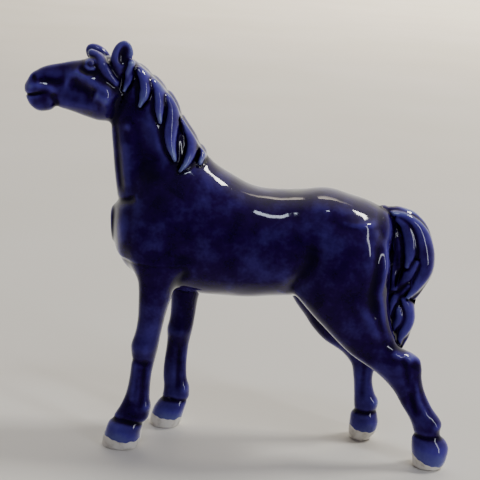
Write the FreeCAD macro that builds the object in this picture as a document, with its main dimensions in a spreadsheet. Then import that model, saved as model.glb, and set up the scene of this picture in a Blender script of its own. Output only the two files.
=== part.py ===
"""Standing horse figurine, glazed porcelain, as the pieces that a figure maker casts and lutes together.

Millimetres, +Z up. The nose points to -X and the horse's left side faces -Y. The four soles stand on
Z = 0, and the origin is below the middle of the figure. Trunk and neck are one hollow, head and legs are
solid, and the locks of the mane, the forelock and the strands of the tail are rolled by hand. Every luted
face follows the surface that it sits on.

A casting is a loft through oval slices. Upright castings (neck, legs, tail) are sliced level, at a height,
and lengthwise ones (trunk, head) are sliced across, at a station. Every size is a cell of the sheet Sizes.
"""

import math
import os

import FreeCAD
import Part
from FreeCAD import Placement, Rotation, Vector

LEVEL = Rotation()  # oval lying level, with its long axis along X
ACROSS = Rotation(Vector(0, 0, 1), Vector(0, 1, 0), Vector(-1, 0, 0), "XYZ")  # standing, long axis along Z

# Driving sizes.
SIZES = {
    "track": 9.0,  # from the middle plane to the middle of a foot
    "wall": 3.0,  # thickness of the hollow castings
    "glaze_line": 3.0,  # height of the bare, wiped ring of each foot
    "vent_bore": 3.0,  # kiln vent in the belly
    "vent_station": 6.0,
    "vent_foot": 35.0,  # where the drill starts, below the belly
    "eye_radius": 1.25,
    "eye_station": -46.6,
    "eye_height": 111.4,
    "nostril_radius": 0.9,
    "nostril_station": -62.6,
    "nostril_height": 108.4,
    "mouth_gap": 0.5,
    "mouth_height": 103.4,
    "mouth_corner": -58.6,
    "eye_out": 3.9,  # from the middle of the head
    "nostril_out": 2.6,
    "poll_station": -38.0,  # the head turns about the poll
    "head_turn": 0.12,  # sideways per length, so that the nose looks a little to the left
    "ear_wall": 0.7,
    "ear_cup": 1.1,  # sideways from the leaf to its hollow
    "tail_swing": 0.14,  # sideways per height, so that the tip reaches the left hock
    "dock_height": 76.0,
}

# Slices across: station along X, underside, top, width.
TRUNK = [
    (-37.6, 61.5, 68.5, 6.0),
    (-36.2, 57.0, 73.5, 14.0),
    (-32.0, 52.0, 79.0, 23.0),
    (-25.0, 48.5, 83.5, 28.5),
    (-16.0, 47.2, 85.0, 30.0),
    (-6.0, 46.9, 82.2, 30.5),
    (4.0, 47.3, 79.4, 31.0),
    (14.0, 48.4, 79.7, 31.0),
    (23.0, 49.6, 80.6, 30.4),
    (31.0, 50.8, 79.2, 28.0),
    (38.0, 54.4, 77.0, 22.4),
    (42.0, 60.0, 74.6, 14.0),
    (43.4, 64.5, 71.5, 6.0),
]
HEAD = [
    (-64.7, 102.4, 106.6, 3.2),
    (-63.6, 100.0, 108.4, 6.0),
    (-61.5, 98.4, 110.1, 7.6),
    (-58.5, 98.2, 111.3, 7.8),
    (-55.0, 99.1, 112.2, 7.4),
    (-51.5, 98.3, 113.0, 8.8),
    (-47.5, 97.0, 114.2, 11.4),
    (-43.5, 96.2, 114.9, 12.8),
    (-40.0, 96.8, 114.6, 12.2),
    (-37.0, 100.0, 113.4, 8.6),
    (-35.6, 103.5, 111.0, 4.5),
]

# Level slices: height, front, rear, width. Legs are given without their side: the track places them.
NECK = [
    (66.0, -36.6, -9.0, 20.0),
    (72.0, -37.5, -6.0, 21.5),
    (78.0, -38.4, -4.5, 20.5),
    (82.0, -38.9, -6.6, 19.0),
    (86.0, -39.5, -11.0, 17.2),
    (92.0, -40.2, -15.2, 15.2),
    (98.0, -40.4, -19.8, 13.6),
    (103.0, -39.6, -22.9, 12.4),
    (108.0, -38.6, -27.4, 10.4),
    (112.0, -38.2, -32.2, 6.0),
    (114.0, -37.4, -34.4, 2.8),
]
FORELEG_LEFT = [
    (63.0, -31.0, -19.0, 8.0),
    (57.0, -31.2, -17.2, 10.2),
    (51.0, -30.0, -18.8, 9.2),
    (44.0, -29.5, -21.1, 7.8),
    (37.0, -29.9, -22.3, 6.8),
    (31.5, -30.9, -23.3, 6.9),
    (27.0, -30.8, -24.0, 6.0),
    (21.0, -31.2, -24.7, 5.3),
    (15.5, -32.4, -24.8, 5.6),
    (11.2, -34.4, -24.8, 6.6),
    (8.2, -36.4, -26.6, 7.4),
    (5.0, -37.5, -27.3, 8.6),
    (2.3, -38.2, -27.1, 9.2),
    (0.0, -38.5, -27.6, 9.2),
]
FORELEG_RIGHT = [
    (61.0, -21.5, -10.0, 8.0),
    (54.0, -21.8, -9.4, 10.0),
    (48.0, -21.4, -11.4, 9.0),
    (43.0, -21.2, -12.6, 8.0),
    (37.0, -21.2, -13.4, 6.8),
    (31.5, -21.6, -14.2, 6.9),
    (26.5, -21.8, -14.9, 6.0),
    (21.0, -22.2, -15.2, 5.3),
    (16.0, -22.4, -14.8, 5.6),
    (11.5, -22.2, -13.9, 6.6),
    (8.4, -22.8, -14.3, 7.0),
    (5.2, -24.6, -15.2, 8.4),
    (2.3, -25.4, -15.9, 9.0),
    (0.0, -25.6, -16.6, 8.8),
]
HINDLEG_LEFT = [
    (72.5, 26.5, 35.0, 5.0),
    (68.5, 22.6, 39.4, 9.6),
    (63.0, 19.0, 42.0, 12.4),
    (57.0, 16.2, 42.6, 12.8),
    (51.0, 15.8, 42.8, 11.8),
    (46.0, 20.4, 43.6, 10.2),
    (41.0, 25.6, 45.3, 8.8),
    (37.0, 29.8, 47.8, 7.8),
    (34.0, 33.0, 52.6, 7.2),
    (31.4, 37.0, 54.3, 7.0),
    (28.0, 41.9, 54.9, 6.6),
    (24.0, 46.2, 56.0, 6.0),
    (19.0, 49.6, 58.9, 5.8),
    (14.2, 52.6, 62.0, 6.6),
    (11.0, 54.0, 62.6, 6.8),
    (7.5, 54.1, 64.0, 8.6),
    (4.0, 54.5, 64.4, 9.4),
    (1.6, 54.9, 64.0, 9.0),
    (0.0, 55.2, 63.0, 7.2),
]
HINDLEG_RIGHT = [
    (71.0, 24.0, 33.5, 5.0),
    (66.5, 20.6, 37.6, 9.6),
    (61.0, 16.5, 40.2, 12.4),
    (55.0, 13.6, 41.0, 12.8),
    (49.0, 13.2, 40.6, 11.8),
    (44.0, 16.2, 40.8, 10.2),
    (39.0, 19.9, 41.5, 8.8),
    (35.0, 22.9, 42.5, 7.8),
    (31.5, 26.6, 44.6, 7.2),
    (28.3, 31.8, 44.5, 6.8),
    (25.0, 35.0, 43.2, 6.2),
    (20.0, 36.6, 42.6, 5.6),
    (15.5, 37.1, 43.6, 5.8),
    (11.5, 37.4, 45.0, 6.8),
    (8.6, 37.0, 45.2, 7.4),
    (5.5, 36.7, 45.7, 8.8),
    (2.4, 36.7, 45.1, 8.2),
    (0.0, 37.2, 43.4, 6.0),
]
TAIL = [
    (76.2, 41.5, 45.6, 3.4),
    (74.6, 40.5, 49.4, 5.6),
    (71.5, 41.2, 52.3, 7.0),
    (67.5, 42.2, 54.0, 7.8),
    (63.0, 43.0, 55.0, 8.0),
    (59.0, 43.2, 55.2, 7.8),
    (55.2, 43.4, 54.0, 7.2),
    (52.0, 43.7, 51.9, 6.4),
    (49.0, 44.0, 50.5, 6.0),
    (45.5, 44.4, 50.5, 5.6),
    (41.5, 45.4, 50.4, 4.6),
    (38.0, 46.4, 49.8, 3.2),
    (35.6, 47.3, 48.7, 1.2),
]


# Rolled strands: station and height of the middle line, and breadth, from the root to the tip.
LOCKS = {
    1: [(-35.6, 113.4, 1.8), (-36.2, 110.8, 2.8), (-36.5, 108.2, 2.6), (-36.8, 105.6, 1.2)],
    2: [(-32.9, 112.4, 2.0), (-32.2, 109.4, 3.2), (-32.2, 106.0, 3.0), (-32.9, 102.9, 1.2)],
    3: [(-29.6, 110.4, 2.0), (-27.9, 106.0, 3.2), (-27.3, 102.0, 3.2), (-26.6, 98.6, 1.4)],
    4: [(-25.2, 105.8, 2.2), (-24.1, 100.6, 3.8), (-23.7, 96.0, 3.9), (-22.8, 91.6, 3.2), (-21.6, 88.0, 1.4)],
    5: [(-20.0, 98.4, 2.0), (-18.0, 94.4, 3.4), (-17.2, 90.4, 3.4), (-18.3, 87.0, 2.6), (-20.2, 84.6, 1.2)],
    6: [(-15.9, 93.6, 1.8), (-14.4, 90.6, 2.6), (-14.2, 88.0, 2.4), (-15.0, 86.2, 1.2)],
}
FORELOCK = [(-46.6, 115.2, 1.8), (-44.0, 114.0, 2.8), (-41.6, 111.6, 2.8), (-39.6, 109.0, 1.4)]
BROW = [(116.0, -49.0, -38.0, 3.0), (113.0, -49.0, -36.0, 8.0), (108.0, -50.0, -34.0, 11.6)]
TAIL_STRANDS = {
    1: [
        (48.6, 74.6, 1.8),
        (51.6, 71.0, 3.2),
        (53.0, 66.0, 3.8),
        (53.4, 60.0, 3.8),
        (52.2, 55.0, 3.0),
        (50.6, 51.2, 1.4),
    ],
    2: [
        (46.2, 74.8, 1.6),
        (47.8, 70.4, 2.8),
        (48.9, 64.0, 3.2),
        (49.0, 57.0, 3.2),
        (47.9, 51.0, 2.6),
        (47.2, 46.6, 1.4),
    ],
    3: [(43.9, 73.6, 1.4), (44.8, 69.0, 2.2), (45.6, 63.0, 2.6), (45.8, 57.0, 2.6), (45.6, 51.6, 1.2)],
    4: [(50.2, 50.0, 1.2), (49.9, 47.0, 2.6), (49.1, 43.0, 2.4), (48.4, 39.4, 1.2)],
}
EARS = {
    "ear_left": [
        (109.6, -39.4, -36.6, 2.4, -3.4),
        (112.4, -40.6, -35.9, 3.2, -4.0),
        (115.4, -40.7, -34.9, 3.4, -4.6),
        (118.0, -39.8, -34.7, 2.8, -5.0),
        (119.6, -38.3, -35.9, 1.6, -5.1),
    ],
    "ear_right": [
        (109.8, -44.2, -41.2, 2.4, 3.2),
        (112.4, -46.4, -41.6, 3.2, 3.8),
        (114.6, -48.2, -42.6, 3.4, 4.4),
        (116.4, -49.0, -43.8, 2.8, 5.0),
        (117.7, -48.2, -45.6, 1.6, 5.2),
    ],
}

doc = FreeCAD.newDocument("HorseFigurine")
sheet = doc.addObject("Spreadsheet::Sheet", "Sizes")
cells = 0
subparts = {}


def store(alias, value):
    """One size in the sheet, bound later by its name."""
    global cells
    cells += 1
    sheet.set(f"A{cells}", alias)
    sheet.set(f"B{cells}", f"{value:g}")
    sheet.setAlias(f"B{cells}", alias)


def make(kind, name, **fixed):
    """A feature of the document."""
    feature = doc.addObject(kind, name)
    for key, value in fixed.items():
        setattr(feature, key, value)
    return feature


def bind(feature, **formulas):
    """Formulas on the sheet for the sizes of a feature; x, y and z give its place."""
    for key, formula in formulas.items():
        feature.setExpression(f"Placement.Base.{key}" if key in "xyz" else key, formula)
    return feature


def slices(table, rows):
    """Cells for a table of slices."""
    for index, values in enumerate(rows):
        for word, value in zip(("at", "low", "high", "width", "side"), values):
            store(f"{table}_{index}_{word}", value)


def loft(name, table, span, side="{0}_side", across=False, wall="0"):
    """Loft through a span of oval slices, each one pulled in by the wall (0 for the outside)."""
    ovals = []
    for index in span:
        cell = f"Sizes.{table}_{index}"
        at, middle = f"{cell}_at", f"({cell}_low + {cell}_high) / 2"
        oval = make("Part::Ellipse", f"{name}_slice", MajorRadius=100)
        oval.Placement = Placement(Vector(), ACROSS if across else LEVEL)
        radii = f"({cell}_high - {cell}_low) / 2 - {wall}", f"{cell}_width / 2 - {wall}"
        bind(oval, MajorRadius=radii[0], MinorRadius=radii[1])
        bind(oval, x=at if across else middle, y=side.format(cell), z=middle if across else at)
        ovals.append(oval)
    return make("Part::Loft", name, Sections=ovals, Solid=True)


def cut(name, base, tools):
    """The base less each tool in turn."""
    for tool in tools:
        base = make("Part::Cut", name, Base=base, Tool=tool)
    return base


def ball(name, radius, x, y, z):
    """A ball with formulas for its radius and place."""
    return bind(make("Part::Sphere", name), Radius=radius, x=x, y=y, z=z)


def finish(name, feature):
    """Take a feature as one sub-part."""
    feature.Label = name
    subparts[name] = feature


def between(rows, height, column):
    """A column of a level table at some height, straight between two slices."""
    for first, second in zip(rows, rows[1:]):
        share = (height - first[0]) / (second[0] - first[0])
        if 0 <= share <= 1:
            return first[column] + share * (second[column] - first[column])
    return rows[-1][column]


def flank(rows, station, height):
    """Distance from the middle plane to the skin of a level casting."""
    front, rear, width = (between(rows, height, column) for column in (1, 2, 3))
    off = (2 * station - front - rear) / (rear - front)
    return width / 2 * math.sqrt(max(0.2, 1 - off * off))


def strand(name, path, under, hand, seats, swing=""):
    """A rolled strand on the flank of a casting, cut to its seats (hand: -1 on the left, 1 on the right)."""
    rows = []
    for x, z, breadth in path:
        rows.append((z, x - breadth / 2, x + breadth / 2, 0.8 * breadth, hand * flank(under, x, z)))
    slices(name, rows)
    roll = loft(f"{name}_roll", name, range(len(rows)), "{0}_side" + swing)
    finish(name, cut(f"{name}_seat", roll, seats))
    return roll


def build_trunk():
    """Hollow casting with a kiln vent, open upwards into the neck."""
    slices("trunk", TRUNK)
    skin = loft("trunk_skin", "trunk", range(len(TRUNK)), "0", True)
    hollow = loft("trunk_hollow", "trunk", range(2, len(TRUNK) - 2), "0", True, "Sizes.wall")
    vent = make("Part::Cylinder", "kiln_vent", Height=30)
    bind(vent, Radius="Sizes.vent_bore / 2", x="Sizes.vent_station", z="Sizes.vent_foot")
    neck_hollow = doc.getObject("neck_hollow")
    finish("trunk", cut("trunk_opened", skin, [hollow, neck_hollow, vent]))
    return skin


def build_neck_skin():
    """Outside of the neck, and its hollow, which runs down through the top of the trunk."""
    slices("neck", NECK)
    loft("neck_hollow", "neck", range(len(NECK) - 3), "0", wall="Sizes.wall")
    return loft("neck_skin", "neck", range(len(NECK)), "0")


def build_head():
    """Solid head with eye sockets, nostrils and the gap of the mouth, turned a little to the left."""
    turn = "({0} - Sizes.poll_station) * Sizes.head_turn"
    slices("head", HEAD)
    head_skin = loft("head_skin", "head", range(len(HEAD)), turn.format("{0}_at"), True)
    tools = []
    for hand, word in ((-1, "left"), (1, "right")):
        for part in ("eye", "nostril"):
            y = f"{hand} * Sizes.{part}_out + " + turn.format(f"Sizes.{part}_station")
            place = f"Sizes.{part}_station", y, f"Sizes.{part}_height"
            tools.append(ball(f"{part}_ball_{word}", f"Sizes.{part}_radius", *place))
        finish(f"eye_{word}", tools[-2])
    mouth = make("Part::Box", "mouth", Length=20, Width=20)
    bind(mouth, Height="Sizes.mouth_gap", x="Sizes.mouth_corner - 20", y="-13", z="Sizes.mouth_height")
    finish("head", cut("head_open", head_skin, tools + [mouth]))
    return head_skin


def build_ear(name, rows, seats):
    """A cupped leaf: the same slices again, narrower and further out, hollow it."""
    slices(name, rows)
    hand = -1 if rows[0][4] < 0 else 1
    leaf = loft(f"{name}_leaf", name, range(len(rows)))
    outwards = "{0}_side + " + f"{hand} * Sizes.ear_cup"
    cup = loft(f"{name}_cup", name, range(1, len(rows)), outwards, wall="Sizes.ear_wall")
    finish(name, cut(f"{name}_seat", leaf, [cup] + seats))


def build_leg(name, rows, hand, trunk_skin):
    """Solid leg luted to the trunk; the wiped, bare foot below the glaze line is a piece of its own."""
    slices(name, rows)
    leg = loft(f"{name}_casting", name, range(len(rows)), f"{hand} * Sizes.track")
    wiped = bind(make("Part::Box", f"{name}_wiped", Length=200, Width=100), Height="Sizes.glaze_line")
    wiped.Placement.Base = Vector(-100, -50, 0)
    foot = make("Part::Common", f"{name}_bare", Base=leg, Tool=wiped)
    finish(name.replace("leg", "foot"), foot)
    finish(name, cut(f"{name}_luted", leg, [trunk_skin, wiped]))


for alias, value in SIZES.items():
    store(alias, value)

neck_skin = build_neck_skin()
trunk_skin = build_trunk()
head_skin = build_head()
finish("neck", cut("neck_luted", neck_skin, [doc.getObject("neck_hollow"), trunk_skin, head_skin]))
for name, rows in EARS.items():
    build_ear(name, rows, [neck_skin, head_skin])

build_leg("foreleg_left", FORELEG_LEFT, -1, trunk_skin)
build_leg("foreleg_right", FORELEG_RIGHT, 1, trunk_skin)
build_leg("hindleg_left", HINDLEG_LEFT, -1, trunk_skin)
build_leg("hindleg_right", HINDLEG_RIGHT, 1, trunk_skin)

for hand, word in ((-1, "left"), (1, "right")):
    laid = [neck_skin, head_skin, trunk_skin]
    for number, path in LOCKS.items():
        roll = strand(f"mane_lock_{word}_{number}", path, NECK, hand, laid)
        laid = [neck_skin, head_skin, trunk_skin, roll]
strand("forelock", FORELOCK, BROW, -1, [head_skin, neck_skin, doc.getObject("ear_left_leaf")])

SWING = " + ({0}_at - Sizes.dock_height) * Sizes.tail_swing"
slices("tail", TAIL)
tail_skin = loft("tail_core", "tail", range(len(TAIL)), "0" + SWING)
leg_casting = doc.getObject("hindleg_left_casting")
rump = [trunk_skin, leg_casting, doc.getObject("hindleg_right_casting")]
finish("tail", cut("tail_luted", tail_skin, rump))
for hand, word in ((-1, "left"), (1, "right")):
    for number, path in TAIL_STRANDS.items():
        strand(f"tail_strand_{word}_{number}", path, TAIL, hand, rump + [tail_skin], SWING)

doc.recompute()
os.makedirs("parts", exist_ok=True)
for feature in doc.Objects:
    if {"Invalid", "Error"} & set(feature.State):
        raise RuntimeError(f"{feature.Name} did not build: {feature.State}")
for name, feature in subparts.items():
    if feature.Shape.isNull() or not feature.Shape.isValid():
        raise RuntimeError(f"{name} is not a valid shape")
    feature.Shape.exportStep(f"parts/{name}.step")
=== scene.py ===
"""Looks of a standing horse figurine in cobalt-blue glazed porcelain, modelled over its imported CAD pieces.

The figure is worked as one lump of clay, a distance field in millimetres. Ovals carried along each limb
are blended like slip fillets, and muscles, locks and folds are raised or pressed into the skin as strokes.
The skin is then parted along the luted seams into one closed piece for each CAD node.
"""
import functools
import math

import bpy
import numpy as np
from mathutils import Matrix, Vector


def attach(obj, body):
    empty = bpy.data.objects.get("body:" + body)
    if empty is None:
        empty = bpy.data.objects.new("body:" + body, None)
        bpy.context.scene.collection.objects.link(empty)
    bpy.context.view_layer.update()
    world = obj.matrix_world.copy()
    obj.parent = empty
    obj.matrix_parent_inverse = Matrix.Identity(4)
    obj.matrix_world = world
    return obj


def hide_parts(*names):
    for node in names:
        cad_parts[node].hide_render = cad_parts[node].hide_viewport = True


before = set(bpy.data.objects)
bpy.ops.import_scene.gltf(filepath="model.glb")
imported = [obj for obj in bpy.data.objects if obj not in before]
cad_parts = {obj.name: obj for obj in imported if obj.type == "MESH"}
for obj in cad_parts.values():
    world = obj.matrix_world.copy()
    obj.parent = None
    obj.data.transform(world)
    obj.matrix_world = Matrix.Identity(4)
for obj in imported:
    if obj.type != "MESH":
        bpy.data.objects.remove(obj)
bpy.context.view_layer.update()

bl_info = {
    "name": "Glazed horse figurine",
    "version": (1, 0, 0),
    "blender": (4, 5, 0),
    "location": "3D View > Sidebar > Horse figurine",
    "description": "Cobalt-glazed porcelain horse with bare white feet, and its pale studio",
    "category": "Object",
}

MM = 0.001
SIDES = (-1, "left"), (1, "right")

# ---------------------------------------------------------------- sizes of the figure, in millimetres
# Slices across: station along X, underside, top, width.
TRUNK = [
    (-38.2, 62.0, 69.5, 6.0),
    (-36.6, 57.6, 73.5, 14.5),
    (-32.4, 52.2, 78.5, 22.5),
    (-25.0, 48.6, 83.5, 27.5),
    (-16.0, 47.3, 85.0, 29.0),
    (-6.0, 46.9, 82.4, 29.5),
    (4.0, 47.3, 79.6, 30.0),
    (14.0, 48.4, 79.8, 29.5),
    (23.0, 49.6, 80.8, 28.5),
    (31.0, 50.8, 79.2, 26.5),
    (38.0, 54.4, 76.9, 21.4),
    (42.0, 60.0, 74.8, 13.4),
    (43.6, 64.5, 72.0, 6.0),
]
HEAD = [
    (-65.0, 102.8, 106.4, 3.0),
    (-63.9, 100.6, 108.3, 5.8),
    (-61.5, 98.6, 110.2, 7.2),
    (-58.5, 98.4, 111.3, 7.2),
    (-55.0, 99.3, 112.1, 7.0),
    (-51.5, 98.5, 112.9, 8.2),
    (-47.5, 97.2, 114.0, 10.6),
    (-43.5, 96.3, 114.8, 12.4),
    (-40.0, 97.0, 114.6, 11.8),
    (-37.0, 100.4, 113.4, 8.2),
    (-35.6, 103.8, 111.0, 4.5),
]
# Level slices: height, front, rear, width.
NECK = [
    (62.0, -36.0, -10.0, 17.0),
    (66.0, -36.9, -9.0, 18.5),
    (72.0, -37.6, -6.5, 19.0),
    (78.0, -38.6, -5.0, 18.0),
    (82.0, -39.1, -7.2, 16.8),
    (86.0, -39.6, -11.2, 15.6),
    (92.0, -40.3, -15.6, 14.2),
    (98.0, -40.6, -20.0, 12.8),
    (103.0, -39.9, -22.9, 11.6),
    (108.0, -39.0, -27.0, 9.6),
    (111.6, -38.6, -31.2, 7.0),
    (114.4, -38.0, -35.0, 3.0),
]
FORELEG_LEFT = [
    (-2.0, -38.5, -27.6, 9.0),
    (0.0, -38.5, -27.6, 9.0),
    (2.3, -38.3, -27.1, 9.4),
    (5.0, -37.6, -27.0, 9.0),
    (7.6, -36.6, -26.2, 7.8),
    (9.4, -35.4, -25.1, 6.4),
    (12.2, -33.8, -24.7, 5.8),
    (15.5, -32.5, -24.9, 5.3),
    (21.0, -31.3, -24.9, 5.0),
    (27.0, -30.9, -24.1, 5.6),
    (31.5, -31.0, -23.3, 6.8),
    (37.0, -30.0, -22.4, 6.6),
    (44.0, -29.6, -21.1, 7.8),
    (51.0, -30.0, -18.8, 9.2),
    (57.0, -31.4, -17.0, 10.4),
    (63.0, -31.6, -18.0, 9.0),
    (68.0, -30.0, -21.0, 5.0),
]
FORELEG_RIGHT = [
    (-2.0, -25.7, -16.4, 8.6),
    (0.0, -25.7, -16.4, 8.6),
    (2.3, -25.5, -15.8, 9.0),
    (5.2, -24.7, -15.1, 8.6),
    (8.0, -23.2, -14.4, 7.0),
    (9.8, -22.3, -13.9, 6.2),
    (12.5, -22.0, -14.1, 5.8),
    (16.0, -22.3, -14.8, 5.3),
    (21.0, -22.2, -15.2, 5.0),
    (26.5, -21.8, -14.9, 5.6),
    (31.5, -21.6, -14.1, 6.8),
    (37.0, -21.2, -13.4, 6.6),
    (43.0, -21.2, -12.6, 7.8),
    (48.0, -21.4, -11.4, 9.0),
    (54.0, -22.0, -9.0, 10.2),
    (61.0, -22.4, -9.6, 8.6),
    (66.0, -21.0, -12.0, 5.0),
]
HINDLEG_LEFT = [
    (-2.0, 55.0, 63.4, 7.4),
    (0.0, 55.0, 63.4, 7.4),
    (1.6, 54.8, 64.4, 8.8),
    (4.0, 54.4, 65.0, 9.4),
    (7.0, 54.0, 64.9, 8.8),
    (9.2, 53.9, 63.6, 7.0),
    (11.0, 54.0, 62.2, 6.2),
    (14.2, 52.8, 62.1, 6.4),
    (19.0, 49.8, 58.7, 5.2),
    (24.0, 46.4, 56.0, 5.6),
    (28.0, 42.2, 54.9, 6.6),
    (31.4, 37.2, 54.4, 7.2),
    (34.4, 32.6, 52.9, 7.2),
    (37.0, 29.6, 47.6, 7.8),
    (41.0, 25.4, 45.2, 9.0),
    (46.0, 20.4, 43.6, 10.4),
    (51.0, 16.2, 42.7, 12.0),
    (57.0, 16.6, 42.5, 13.0),
    (63.0, 19.4, 41.8, 12.4),
    (68.5, 23.0, 39.0, 9.6),
    (72.5, 27.0, 35.0, 5.0),
]
HINDLEG_RIGHT = [
    (-2.0, 37.0, 43.4, 7.0),
    (0.0, 37.0, 43.4, 7.0),
    (2.4, 36.7, 45.1, 8.4),
    (5.5, 36.7, 45.8, 8.8),
    (8.2, 37.0, 45.2, 7.2),
    (10.0, 37.6, 45.0, 6.2),
    (12.5, 37.4, 44.8, 6.2),
    (15.5, 37.1, 43.6, 5.6),
    (20.0, 36.6, 42.6, 5.2),
    (25.0, 35.0, 43.4, 6.0),
    (28.3, 31.8, 44.9, 6.8),
    (31.5, 26.6, 44.6, 7.2),
    (35.0, 22.9, 42.5, 7.8),
    (39.0, 19.9, 41.5, 9.0),
    (44.0, 16.2, 40.8, 10.4),
    (49.0, 13.8, 40.6, 12.0),
    (55.0, 14.2, 40.8, 13.0),
    (61.0, 17.0, 40.2, 12.4),
    (66.5, 21.0, 37.2, 9.6),
    (71.0, 25.0, 33.5, 5.0),
]
TAIL = [
    (35.2, 47.4, 48.6, 1.2),
    (37.4, 46.2, 49.6, 3.0),
    (40.4, 45.2, 51.0, 4.6),
    (43.6, 44.6, 51.6, 5.4),
    (47.4, 44.0, 51.2, 5.8),
    (50.4, 43.8, 51.5, 6.0),
    (53.0, 43.6, 53.2, 6.4),
    (56.0, 43.4, 55.0, 7.0),
    (59.4, 43.2, 56.0, 7.6),
    (63.2, 43.0, 55.9, 7.8),
    (67.7, 42.2, 54.6, 7.6),
    (71.5, 41.2, 52.7, 6.8),
    (74.4, 40.0, 49.9, 5.6),
    (76.3, 39.0, 46.8, 3.4),
    (77.2, 39.0, 43.0, 1.6),
]

TRACK = 9.0  # middle plane to the middle of a foot
POLL, TURN = -38.0, 0.12  # the head turns about the poll, this far sideways per length
DOCK, SWING = 76.0, 0.14  # the tail swings to the left below the dock
EYE_STATION, EYE_HEIGHT, EYE_SUNK = -46.4, 112.8, 0.3  # the ball is sunk by this share of its radius
VENT_STATION, VENT_RADIUS = 6.0, 1.5  # the kiln vent in the belly
ANKLE = 14.0  # nothing above this height is bare
WIPED, WIPED_FADE, WIPED_THIN = 8.6, 5.0, 0.45  # the glaze is thinned by the sponge below this height
CAP_DEPTH = 0.6  # how far a cap lies behind the open edge that it closes
LEAST_FACES = 60  # a smaller scrap of a piece goes to the piece around it
# Parts of the lattice that are worked: lowest and highest corner.
BODY_WINDOW = (-46, -18, 40), (50, 18, 120)
MANE_WINDOW = (-42, -18, 80), (-8, 18, 119)
FACE_WINDOW = (-67.5, -10, 94), (-37, 9, 118)
TAIL_WINDOW = (36, -14, 30), (60, 10, 82)
# Ears: middle and radii of the leaf, the same of its cup, tilt in degrees, and the window.
EARS = {
    "left": (
        (-37.9, -4.5, 114.9), (5.0, 1.9, 3.1), (-37.2, -6.9, 116.3), (3.4, 2.3, 1.9), 80,
        (-44, -10, 105), (-32, 0, 122),
    ),
    "right": (
        (-45.4, 4.4, 113.9), (4.5, 1.9, 2.8), (-46.4, 6.6, 114.6), (3.0, 2.2, 1.6), 140,
        (-52, 0, 106), (-39, 10, 121),
    ),
}


def head_side(station):
    """Sideways place of the middle of the head at a station."""
    return (station - POLL) * TURN


def tail_side(height):
    """Sideways place of the middle of the tail at a height."""
    return np.minimum(height - DOCK, 0) * SWING


# ---------------------------------------------------------------- clay: a distance field on a lattice
def smooth_min(a, b, blend):
    """The lower of two fields, with a fillet: min(a, b) - h^2 blend / 4, h = max(0, 1 - |a - b| / blend)."""
    h = np.maximum(1 - np.abs(a - b) / blend, 0)
    return np.minimum(a, b) - h * h * blend / 4


def smooth_columns(rows, at):
    """Columns of a table at any station: cubic Hermite runs with the slopes of the neighbouring slices."""
    table = np.array(rows, float)
    stations = table[:, 0]
    slopes = np.gradient(table, stations, axis=0)
    i = np.clip(np.searchsorted(stations, at) - 1, 0, len(stations) - 2)
    run = (stations[i + 1] - stations[i])[:, None]
    t = np.clip((at - stations[i])[:, None] / run, 0, 1)
    value = (1 + 2 * t) * (1 - t) ** 2 * table[i] + t * t * (3 - 2 * t) * table[i + 1]
    return (value + run * t * (1 - t) * ((1 - t) * slopes[i] - t * slopes[i + 1])).T[1:]


def path_distance(path, *axes):
    """Distance to a line of straight runs, and how far along it (0 to 1) the nearest point lies."""
    path = np.array(path, float)
    reach = np.append(0, np.cumsum(np.linalg.norm(np.diff(path, axis=0), axis=1)))
    best, share = np.inf, 0.0
    for i in range(len(path) - 1):
        run = path[i + 1] - path[i]
        t = sum((axis - start) * step for axis, start, step in zip(axes, path[i], run)) / (run @ run)
        t = np.clip(t, 0, 1)
        d = np.sqrt(sum((axis - start - t * step) ** 2 for axis, start, step in zip(axes, path[i], run)))
        nearer = d < best
        share = np.where(nearer, (reach[i] + t * (reach[i + 1] - reach[i])) / reach[-1], share)
        best = np.minimum(best, d)
    return best, share


def rounded_path(points, count):
    """The same points joined by a Catmull-Rom curve instead of straight runs."""
    points = np.array(points, float)
    table = np.column_stack([np.arange(len(points)), points])
    return smooth_columns(table, np.linspace(0, len(points) - 1, count)).T


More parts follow.
